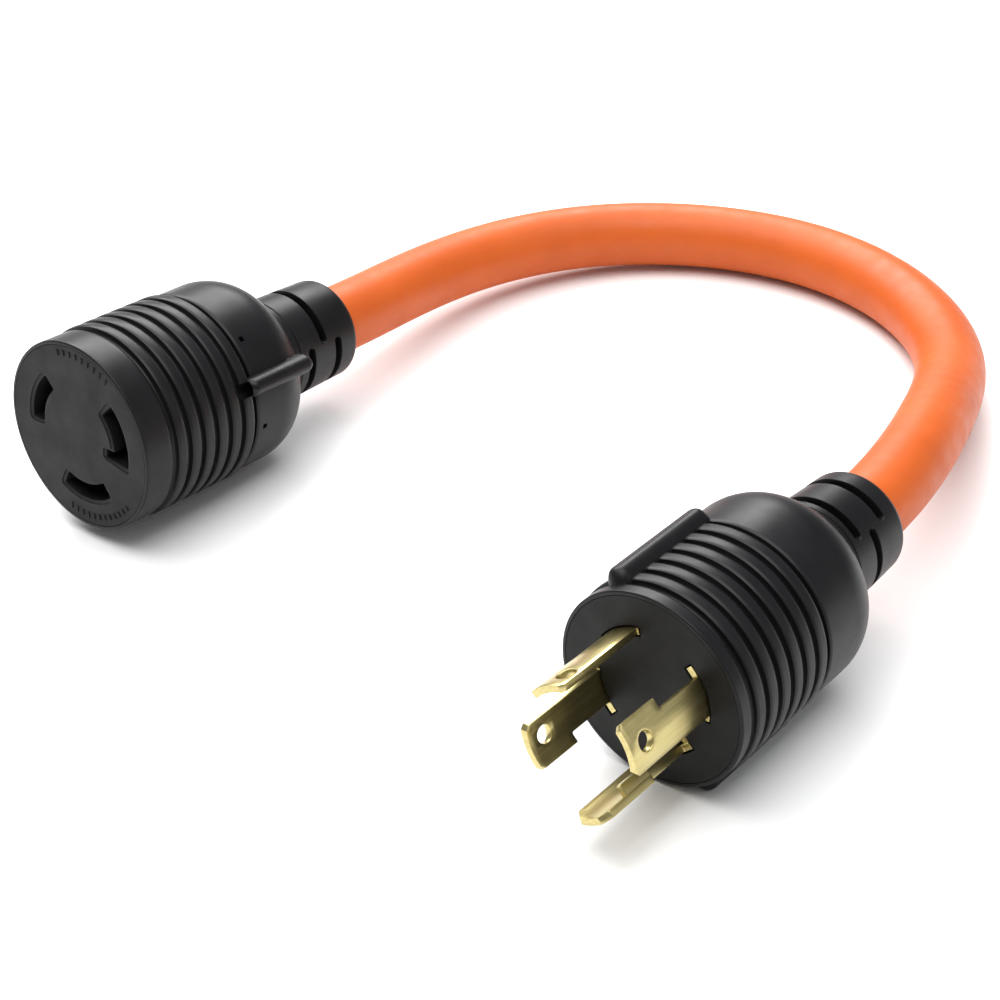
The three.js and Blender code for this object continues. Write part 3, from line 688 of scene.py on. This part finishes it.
def make_neck(name, end, place, node):
    """A neck with three rows of two slots. The middle row is a quarter turn from the others."""
    outer = neck_profile(end)
    profile = outer + [
        (NECK_BORE + NECK_BEVEL, end["length"]), (NECK_BORE, end["length"] - NECK_BEVEL),
        (NECK_BORE, end["body_length"] - NECK_INSIDE)]
    points = []
    for r, y in profile:
        for k in range(NECK_SIDES):
            x, z = polar(r, 360 * k / NECK_SIDES)
            points.append((x, y, z))
    base = mesh_of(name, points, ring_faces(len(profile), NECK_SIDES, closed=True), place)
    tools = []
    for row, y in enumerate(end["slot_rows"]):
        turn = end["slot_turn"] + (0 if row == 1 else 90)
        surface = float(np.interp(y, [p[1] for p in outer], [p[0] for p in outer]))
        for middle in (turn, turn + 180):
            made = curved_slot(middle, end["slot_spans"][row], y, surface)
            tools.append(mesh_of("slot", *made, place))
    piece = link(name, combined(base, tools, "DIFFERENCE"))
    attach(piece, ROOT)
    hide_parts(node)
    return piece


# Faces ------------------------------------------------------------------------------------------

FACE_DEPTH = 8
FACE_STEP = 2
FACE_SIDES = 180
FACE_RING = 0.6  # flat ring that keeps the rim's shading off the marks
FACE_BEVEL = 0.08
FACE_BACK_GAP = 0.3
BLADE_INNER = 12.0
BLADE_OUTER = 13.6
SMALLEST_ROUND = 0.08
SLOT_SIDE_PARTS = 12


def arc_slot(corners, corner_radius):
    """An outline with sides along radii and circles, from corners (radius, angle) in order
    anticlockwise. The inset moves every side in by the same distance."""
    reference = sum(r for r, _ in corners) / len(corners)
    flat = [(r, math.radians(a) * reference) for r, a in corners]

    def outline(inset):
        count = len(flat)
        moved = []
        for k in range(count):
            here = np.array(flat[k])
            into = here - np.array(flat[k - 1])
            out = np.array(flat[(k + 1) % count]) - here
            into = into / np.linalg.norm(into)
            out = out / np.linalg.norm(out)
            shift = np.array([-into[1], into[0]]) + np.array([-out[1], out[0]])
            convex = into[0] * out[1] - into[1] * out[0] > 0
            radius = corner_radius - inset if convex else corner_radius + inset
            moved.append((*(here + shift * inset), max(radius, SMALLEST_ROUND)))
        result = []
        points = rounded(moved)
        for k, point in enumerate(points):
            after = points[(k + 1) % len(points)]
            is_side = (k + 1) % (CORNER_STEPS + 1) == 0
            is_round = abs(after[1] - point[1]) > abs(after[0] - point[0])
            parts = SLOT_SIDE_PARTS if is_side and is_round else 1
            for i in range(parts):
                r = point[0] + (after[0] - point[0]) * i / parts
                s = point[1] + (after[1] - point[1]) * i / parts
                result.append(polar(r, math.degrees(s / reference)))
        return result

    return outline


def to_face(x, z, depth):
    return x, depth, z


def make_face(name, node, place, end, holes, marks):
    """A stepped face disc with slots through it. A mark is a raised shape on its front."""
    radius = end["collar"] - FACE_LIP - SEAM / 2
    step = radius - (end["rib"] - SHELL_WALL - FACE_BACK_GAP)
    levels = [
        (FACE_RING, 0), (FACE_BEVEL, 0), (0, FACE_BEVEL), (0, FACE_STEP), (step, FACE_STEP),
        (step, FACE_DEPTH)]
    made = plate([(circle(radius, FACE_SIDES), levels), *holes], to_face, marks=marks)
    piece = link(name, mesh_of(name, *made, place))
    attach(piece, ROOT)
    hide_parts(node)
    return piece


def sector_corners(inner, outer, low, high):
    return [(inner, low), (outer, low), (outer, high), (inner, high)]


# Corners are (radius, angle), and levels are (inset, depth): each slot opens into a shallow
# bevelled surround.
CONNECTOR_SLOTS = [
    sector_corners(12, 15.7, 131, 180),
    sector_corners(11.8, 15.5, -115, -55),
    [(9, -14), (16, -10), (16, 44), (11.6, 44), (11.6, -1), (9, -1)],
]
CONNECTOR_SLOT_LEVELS = [
    (-0.9, 0), (-0.82, 0.22), (-0.26, 0.3), (-0.06, 0.4), (0, 0.6), (0, FACE_DEPTH)]
CONNECTOR_SLOT_ROUND = 0.35
TICK_ROWS = [
    {"radius": 20, "from": 58, "to": 104, "count": 9},
    {"radius": 19.6, "from": -103, "to": -42, "count": 12},
]
TICK_HALF_WIDTH = 0.3
TICK_HALF_LENGTH = 0.7
TICK_ROUND = 0.12
TICK_HEIGHT = 0.25


def tick_marks(row):
    """Short raised bars along radii, evenly spread over an arc."""
    radius = row["radius"]
    spread = math.degrees(TICK_HALF_WIDTH / radius)
    marks = []
    for k in range(row["count"]):
        angle = row["from"] + (row["to"] - row["from"]) * k / (row["count"] - 1)
        corners = sector_corners(
            radius - TICK_HALF_LENGTH, radius + TICK_HALF_LENGTH, angle - spread, angle + spread)
        marks.append((arc_slot(corners, TICK_ROUND), TICK_HEIGHT))
    return marks


def make_connector_face():
    holes = []
    for corners in CONNECTOR_SLOTS:
        holes.append((arc_slot(corners, CONNECTOR_SLOT_ROUND), CONNECTOR_SLOT_LEVELS))
    marks = [mark for row in TICK_ROWS for mark in tick_marks(row)]
    return make_face("connector_front", "connector_face", CONNECTOR_PLACE, connector, holes, marks)


# Angles in degrees. The corners at the tip are cut, and a step narrows the blade on one side.
BLADES = {
    "hot_x_blade": {"from": 181, "to": 227, "hole": 201, "tip": 22.3, "corner": 0.9, "step": 0.35},
    "hot_y_blade": {"from": -5, "to": 47, "hole": 24, "tip": 22.3, "corner": 0.9, "step": 1.3},
    "neutral_blade": {"from": 102, "to": 145, "hole": 115, "tip": 22.3, "corner": 0.9, "step": 0.35},
    "ground_blade": {"from": -83, "to": -43, "hole": None, "tip": 26.3, "corner": 1.8, "step": 0.35},
}
LEG_INNER = 9.8
LEG_SPAN = 7  # degrees
LEG_TIP = 19
LEG_SINK = 0.13  # keeps the leg's surfaces off the blade's
LEG_OVERLAP = 0.6
LEG_ROUND = 0.3
LEG_BEVEL = 0.15
PLUG_SLOT_LEVELS = [(-0.12, 0), (0, 0.12), (0, FACE_DEPTH)]
PLUG_SLOT_ROUND = 0.25
SLOT_GAP = 0.3
SLOT_END_GAP = 1.4  # degrees
SLOT_LEG_GAP = 2  # degrees


def make_plug_face():
    inner = BLADE_INNER - SLOT_GAP
    outer = BLADE_OUTER + SLOT_GAP
    leg_inner = LEG_INNER - SLOT_GAP
    holes = []
    for name, blade in BLADES.items():
        low = blade["from"] - SLOT_END_GAP
        high = blade["to"] + SLOT_END_GAP
        corners = sector_corners(inner, outer, low, high)
        if name == "ground_blade":
            leg = blade["to"] - LEG_SPAN - SLOT_LEG_GAP
            corners = [
                (inner, low), (outer, low), (outer, high), (leg_inner, high), (leg_inner, leg),
                (inner, leg)]
        holes.append((arc_slot(corners, PLUG_SLOT_ROUND), PLUG_SLOT_LEVELS))
    return make_face("plug_front", "plug_face", PLUG_PLACE, plug, holes, [])


# Blades -----------------------------------------------------------------------------------------

BLADE_MIDDLE = (BLADE_INNER + BLADE_OUTER) / 2
BLADE_ROOT = 9
BLADE_NECK = 0.1  # just behind the face's surface, where a blade narrows
BLADE_BEVEL = 0.2
BLADE_BEVEL_MIDDLE = 0.06
BLADE_CORNER_STEPS = 5
BLADE_SIDE_PART = 1.0
BLADE_GRID = (0.8, 1.6)
TIP_ROUND = 0.4
STEP_ROUND = 0.15
NOTCH_LENGTH = 11.6
NOTCH_SPAN = 10  # degrees
NOTCH_ROUNDS = (0.25, 0.4, 0.3)  # from the tip to the face
HOLE_Y = -18
HOLE_RADIUS = 1.9
HOLE_SIDES = 36
BARREL_ORBIT = 10
BARREL_SIDES = 32
BARREL_PROFILE = [(2.7, 8.3), (2.7, 21), (1.85, 21), (1.85, 9.7)]  # (radius, y)


def blade_edge(angle):
    """Length along a blade's arc at an angle."""
    return math.radians(angle) * BLADE_MIDDLE


def wrapped(u, v, depth):
    """A point of a flat blade, u along its arc, v along the axis and depth from its inside."""
    x, z = polar(BLADE_INNER + depth, math.degrees(u / BLADE_MIDDLE))
    return x, v, z


def blade_outline(blade):
    """Outline of a flattened blade, with a notch behind its tip on one side."""
    low = blade_edge(blade["from"])
    high = blade_edge(blade["to"])
    notch = blade_edge(blade["to"] - NOTCH_SPAN)
    tip = -blade["tip"]
    near = low + blade["step"]
    cut = blade["corner"]
    corners = [
        (low, BLADE_ROOT, 0), (low, BLADE_NECK, 0), (near, BLADE_NECK, STEP_ROUND),
        (near, tip + cut, TIP_ROUND), (near + cut, tip, TIP_ROUND), (high - cut, tip, TIP_ROUND),
        (high, tip + cut, TIP_ROUND), (high, -NOTCH_LENGTH, NOTCH_ROUNDS[0]),
        (notch, -NOTCH_LENGTH, NOTCH_ROUNDS[1]), (notch, BLADE_NECK, NOTCH_ROUNDS[2]),
        (high, BLADE_NECK, 0), (high, BLADE_ROOT, 0)]
    return subdivided(rounded(corners, steps=BLADE_CORNER_STEPS), BLADE_SIDE_PART)


def make_blade(name, blade):
    thickness = BLADE_OUTER - BLADE_INNER
    rim = blade_outline(blade)
    levels = [
        (BLADE_BEVEL, 0), (BLADE_BEVEL_MIDDLE, BLADE_BEVEL_MIDDLE), (0, BLADE_BEVEL),
        (0, thickness - BLADE_BEVEL), (BLADE_BEVEL_MIDDLE, thickness - BLADE_BEVEL_MIDDLE),
        (BLADE_BEVEL, thickness)]
    loops = [(lambda inset: drawn_in(rim, inset), levels)]
    if blade["hole"] is not None:
        centre = (blade_edge(blade["hole"]), HOLE_Y)
        hole_levels = [(-inset, depth) for inset, depth in levels]
        loops.append((circle(HOLE_RADIUS, HOLE_SIDES, centre), hole_levels))
    main = mesh_of(name, *plate(loops, wrapped, grid=BLADE_GRID), PLUG_PLACE)
    tools = []
    if blade["hole"] is None:
        tools.append(ground_leg(blade, -LEG_TIP, -NOTCH_LENGTH - LEG_SINK))
        tools.append(ground_leg(blade, BLADE_NECK + LEG_SINK, FACE_DEPTH))
    tools.append(crimp_barrel((blade["from"] + blade["to"]) / 2))
    piece = link(name.replace("_blade", "_blade_brass"), combined(main, tools, "UNION"))
    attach(piece, ROOT)
    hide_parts(name)
    return piece


def ground_leg(blade, start, end):
    """The ground blade's hooked leg: a flat strip that reaches inwards from its edge."""
    thickness = blade_edge(LEG_SPAN)
    outer = BLADE_INNER + LEG_OVERLAP
    rim = rounded([(LEG_INNER, start), (outer, start), (outer, end), (LEG_INNER, end)], LEG_ROUND)
    levels = [
        (LEG_BEVEL, 0), (0, LEG_BEVEL), (0, thickness - LEG_BEVEL), (LEG_BEVEL, thickness)]

    def to_space(u, v, depth):
        x, z = polar(u, blade["to"] - math.degrees((depth + LEG_SINK) / BLADE_MIDDLE))
        return x, v, z

    made = plate([(lambda inset: drawn_in(rim, inset), levels)], to_space)
    return mesh_of("leg", *made, PLUG_PLACE)


def crimp_barrel(angle):
    """The barrel that holds a blade's wire, behind the face."""
    x, z = polar(BARREL_ORBIT, angle)
    points = []
    for r, y in BARREL_PROFILE:
        for k in range(BARREL_SIDES):
            turn = 2 * math.pi * k / BARREL_SIDES
            points.append((x + r * math.cos(turn), y, z + r * math.sin(turn)))
    rings = len(BARREL_PROFILE)
    faces = ring_faces(rings, BARREL_SIDES)
    faces.append(tuple(range(BARREL_SIDES)))
    faces.append(tuple(range((rings - 1) * BARREL_SIDES, rings * BARREL_SIDES)))
    return mesh_of("barrel", points, faces, PLUG_PLACE)


# Materials --------------------------------------------------------------------------------------


class Shader:
    """A small helper that adds nodes to a material and links them."""

    def __init__(self, name, colour, roughness, metallic=0.0, **sockets):
        self.material = bpy.data.materials.new(name)
        self.material.use_nodes = True
        self.tree = self.material.node_tree
        self.principled = self.tree.nodes["Principled BSDF"]
        self.principled.inputs["Base Color"].default_value = (*colour, 1)
        self.principled.inputs["Roughness"].default_value = roughness
        self.principled.inputs["Metallic"].default_value = metallic
        for socket, value in sockets.items():
            self.principled.inputs[socket.replace("_", " ")].default_value = value
        self.place = self.node("ShaderNodeTexCoord").outputs["Object"]

    def node(self, kind, **settings):
        node = self.tree.nodes.new(kind)
        for key, value in settings.items():
            setattr(node, key, value)
        return node

    def link(self, output, target):
        self.tree.links.new(output, target)

    def stretched(self, scale):
        mapping = self.node("ShaderNodeMapping")
        mapping.inputs["Scale"].default_value = scale
        self.link(self.place, mapping.inputs["Vector"])
        return mapping.outputs["Vector"]

    def noise(self, scale, detail, roughness=0.55, vector=None):
        node = self.node("ShaderNodeTexNoise")
        node.inputs["Scale"].default_value = scale
        node.inputs["Detail"].default_value = detail
        node.inputs["Roughness"].default_value = roughness
        self.link(vector or self.place, node.inputs["Vector"])
        return node.outputs["Fac"]

    def ramp(self, value, low, high, start=0.35, end=0.65):
        """Colours from low to high as the value goes from start to end."""
        node = self.node("ShaderNodeValToRGB")
        node.color_ramp.elements[0].position = start
        node.color_ramp.elements[0].color = (*low, 1)
        node.color_ramp.elements[1].position = end
        node.color_ramp.elements[1].color = (*high, 1)
        self.link(value, node.inputs["Fac"])
        return node.outputs["Color"]

    def ranged(self, value, low, high, start=0.3, end=0.7):
        node = self.node("ShaderNodeMapRange")
        node.inputs["From Min"].default_value = start
        node.inputs["From Max"].default_value = end
        node.inputs["To Min"].default_value = low
        node.inputs["To Max"].default_value = high
        self.link(value, node.inputs["Value"])
        return node.outputs["Result"]

    def mixed(self, factor, first, second):
        node = self.node("ShaderNodeMix", data_type="RGBA")
        self.link(factor, node.inputs["Factor"])
        self.link(first, node.inputs["A"])
        self.link(second, node.inputs["B"])
        return node.outputs["Result"]

    def bump(self, height, strength, distance, before=None):
        node = self.node("ShaderNodeBump")
        node.inputs["Strength"].default_value = strength
        node.inputs["Distance"].default_value = distance
        self.link(height, node.inputs["Height"])
        if before:
            self.link(before, node.inputs["Normal"])
        return node.outputs["Normal"]

    def colour(self, output):
        self.link(output, self.principled.inputs["Base Color"])

    def roughness(self, output):
        self.link(output, self.principled.inputs["Roughness"])

    def normal(self, output):
        self.link(output, self.principled.inputs["Normal"])


def moulded(name, dark, light, smooth, rough, grain, grain_size):
    """Moulded plastic: slight clouding of colour and gloss, and a fine grain."""
    s = Shader(name, light, rough, Specular_IOR_Level=0.22)
    cloud = s.noise(scale=55, detail=4)
    s.colour(s.ramp(cloud, dark, light))
    s.roughness(s.ranged(s.noise(scale=160, detail=5), smooth, rough))
    flow = s.bump(s.noise(scale=40, detail=2), strength=0.25, distance=0.0004)
    fine = s.noise(scale=grain_size, detail=2)
    s.normal(s.bump(fine, strength=grain, distance=0.00006, before=flow))
    return s.material


def brass(name):
    """Rolled brass: fine lines along the blade, faint tarnish and waviness."""
    s = Shader(name, (0.6, 0.5, 0.22), roughness=0.3, metallic=1.0)
    lines = s.stretched((1500, 60, 1500))
    rolled = s.noise(scale=1, detail=6, roughness=0.6, vector=lines)
    stain = s.noise(scale=130, detail=2)
    clean = s.ramp(rolled, (0.49, 0.41, 0.175), (0.6, 0.52, 0.25))
    dull = s.ramp(rolled, (0.41, 0.33, 0.13), (0.52, 0.43, 0.19))
    s.colour(s.mixed(s.ranged(stain, 0, 0.6, start=0.35, end=0.75), clean, dull))
    s.roughness(s.ranged(stain, 0.27, 0.36))
    wavy = s.bump(s.noise(scale=90, detail=2), strength=0.2, distance=0.0003)
    s.normal(s.bump(rolled, strength=0.12, distance=0.00004, before=wavy))
    return s.material


def orange_vinyl(name):
    """Extruded vinyl: soft sheen, faint mottling and scuffs."""
    s = Shader(name, (0.53, 0.094, 0.011), roughness=0.45, Specular_IOR_Level=0.3)
    mottled = s.ramp(
        s.noise(scale=38, detail=4), (0.5, 0.086, 0.0095), (0.565, 0.103, 0.013))
    grime = s.noise(scale=140, detail=6, roughness=0.65)
    scuffed = s.ramp(grime, (0.5, 0.13, 0.04), (0.6, 0.2, 0.08))
    s.colour(s.mixed(s.ranged(grime, 0, 0.12, start=0.6, end=0.8), mottled, scuffed))
    s.roughness(s.ranged(s.noise(scale=220, detail=5), 0.42, 0.56))
    wave = s.bump(s.noise(scale=60, detail=2), strength=0.2, distance=0.0005)
    fine = s.noise(scale=2600, detail=2)
    s.normal(s.bump(fine, strength=0.25, distance=0.00005, before=wave))
    return s.material


def stranded(name, dark, light):
    """Stranded copper: glossier and duller strands."""
    s = Shader(name, light, roughness=0.35, metallic=1.0)
    strand = s.noise(scale=900, detail=4)
    s.colour(s.ramp(strand, dark, light))
    s.roughness(s.ranged(strand, 0.28, 0.45))
    s.normal(s.bump(strand, strength=0.3, distance=0.0001))
    return s.material


def fibrous(name, dark, light):
    """Matt fibres of the fillers."""
    s = Shader(name, light, roughness=0.9)
    fibre = s.noise(scale=1200, detail=6, roughness=0.7)
    s.colour(s.ramp(fibre, dark, light))
    s.roughness(s.ranged(fibre, 0.8, 0.95))
    s.normal(s.bump(fibre, strength=0.5, distance=0.0002))
    return s.material


def insulation(name, dark, light):
    """The smooth skin of one wire."""
    return moulded(name, dark, light, smooth=0.4, rough=0.5, grain=0.1, grain_size=1500)


def paint(piece, look):
    piece.data.materials.clear()
    piece.data.materials.append(look)


# Making -----------------------------------------------------------------------------------------

make_camera()
cord = make_cord()
connector_body = make_connector_body()
plug_body = make_plug_body()
connector_neck = make_neck("connector_neck", connector, CONNECTOR_PLACE, "connector_strain_relief")
plug_neck = make_neck("plug_neck", plug, PLUG_PLACE, "plug_strain_relief")
connector_front = make_connector_face()
plug_front = make_plug_face()
blade_pieces = [make_blade(name, blade) for name, blade in BLADES.items()]

housing_look = moulded(
    "housing_vinyl", (0.004, 0.004, 0.0046), (0.0065, 0.0065, 0.0075), smooth=0.34, rough=0.44,
    grain=0.12, grain_size=2400)
face_look = moulded(
    "face_plastic", (0.004, 0.004, 0.004), (0.0065, 0.0065, 0.0062), smooth=0.5, rough=0.62,
    grain=0.35, grain_size=1500)
inner_look = moulded(
    "inner_mould", (0.03, 0.03, 0.032), (0.05, 0.05, 0.052), smooth=0.6, rough=0.75, grain=0.3,
    grain_size=900)
brass_look = brass("brass")
orange_look = orange_vinyl("cord_vinyl")
black_look = insulation("wire_black", (0.01, 0.01, 0.01), (0.02, 0.02, 0.02))
white_look = insulation("wire_white", (0.68, 0.66, 0.6), (0.8, 0.78, 0.73))
green_look = insulation("wire_green", (0.02, 0.2, 0.06), (0.04, 0.28, 0.09))
copper_look = stranded("copper", (0.45, 0.18, 0.09), (0.7, 0.32, 0.18))
filler_look = fibrous("filler", (0.5, 0.42, 0.28), (0.75, 0.68, 0.52))

paint(cord, orange_look)
for piece in (connector_body, plug_body, connector_neck, plug_neck):
    paint(piece, housing_look)
for piece in (connector_front, plug_front):
    paint(piece, face_look)
for piece in blade_pieces:
    paint(piece, brass_look)

node_looks = {
    "blade_holder": face_look,
    "contact_carrier": face_look,
    "carrier_cap": face_look,
    "plug_inner_mould": inner_look,
    "connector_inner_mould": inner_look,
    "hot_x_contact": brass_look,
    "hot_y_contact": brass_look,
    "ground_contact": brass_look,
    "ground_copper": copper_look,
    "hot_x_copper": copper_look,
    "hot_y_copper": copper_look,
    "filler_1": filler_look,
    "filler_2": filler_look,
    "filler_3": filler_look,
    "hot_x_insulation": black_look,
    "hot_y_insulation": white_look,
    "ground_insulation": green_look,
}
for node, look in node_looks.items():
    for slot in frame["nodes"][node].material_slots:
        slot.material = look

# Floor and light --------------------------------------------------------------------------------

FLOOR_HALF = 3.0


def make_floor():
    corners = [(FLOOR_HALF * i, FLOOR_HALF * j, 0) for i, j in ((-1, -1), (1, -1), (1, 1), (-1, 1))]
    floor = link("floor", mesh_of("floor", corners, [(0, 1, 2, 3)]))
    s = Shader("floor", (0.92, 0.92, 0.92), roughness=0.9)
    s.colour(s.ramp(s.noise(scale=3, detail=2), (0.91, 0.91, 0.91), (0.93, 0.93, 0.93)))
    paint(floor, s.material)


def make_light(name, azimuth, elevation, distance, size, power):
    """A rectangular lamp of so many watts that faces the camera's target."""
    data = bpy.data.lights.new(name, "AREA")
    data.shape = "RECTANGLE"
    data.size, data.size_y = size
    data.energy = power
    light = bpy.data.objects.new(name, data)
    bpy.context.scene.collection.objects.link(light)
    toward = direction(math.radians(azimuth), math.radians(elevation))
    light.location = CAMERA_TARGET + toward * distance
    light.rotation_mode = "QUATERNION"
    light.rotation_quaternion = (-toward).to_track_quat("-Z", "Y")


def make_world():
    world = bpy.data.worlds.new("studio")
    bpy.context.scene.world = world
    world.use_nodes = True
    background = world.node_tree.nodes["Background"]
    background.inputs["Color"].default_value = (0.95, 0.97, 1.0, 1)
    background.inputs["Strength"].default_value = 0.3


make_floor()
make_world()
make_light("top", azimuth=0, elevation=86, distance=0.9, size=(1.1, 0.9), power=13)
make_light("back_left", azimuth=235, elevation=38, distance=1.0, size=(1.0, 0.5), power=14)
make_light("right", azimuth=110, elevation=30, distance=1.0, size=(0.5, 0.7), power=1)
bpy.context.scene.view_settings.view_transform = "Standard"
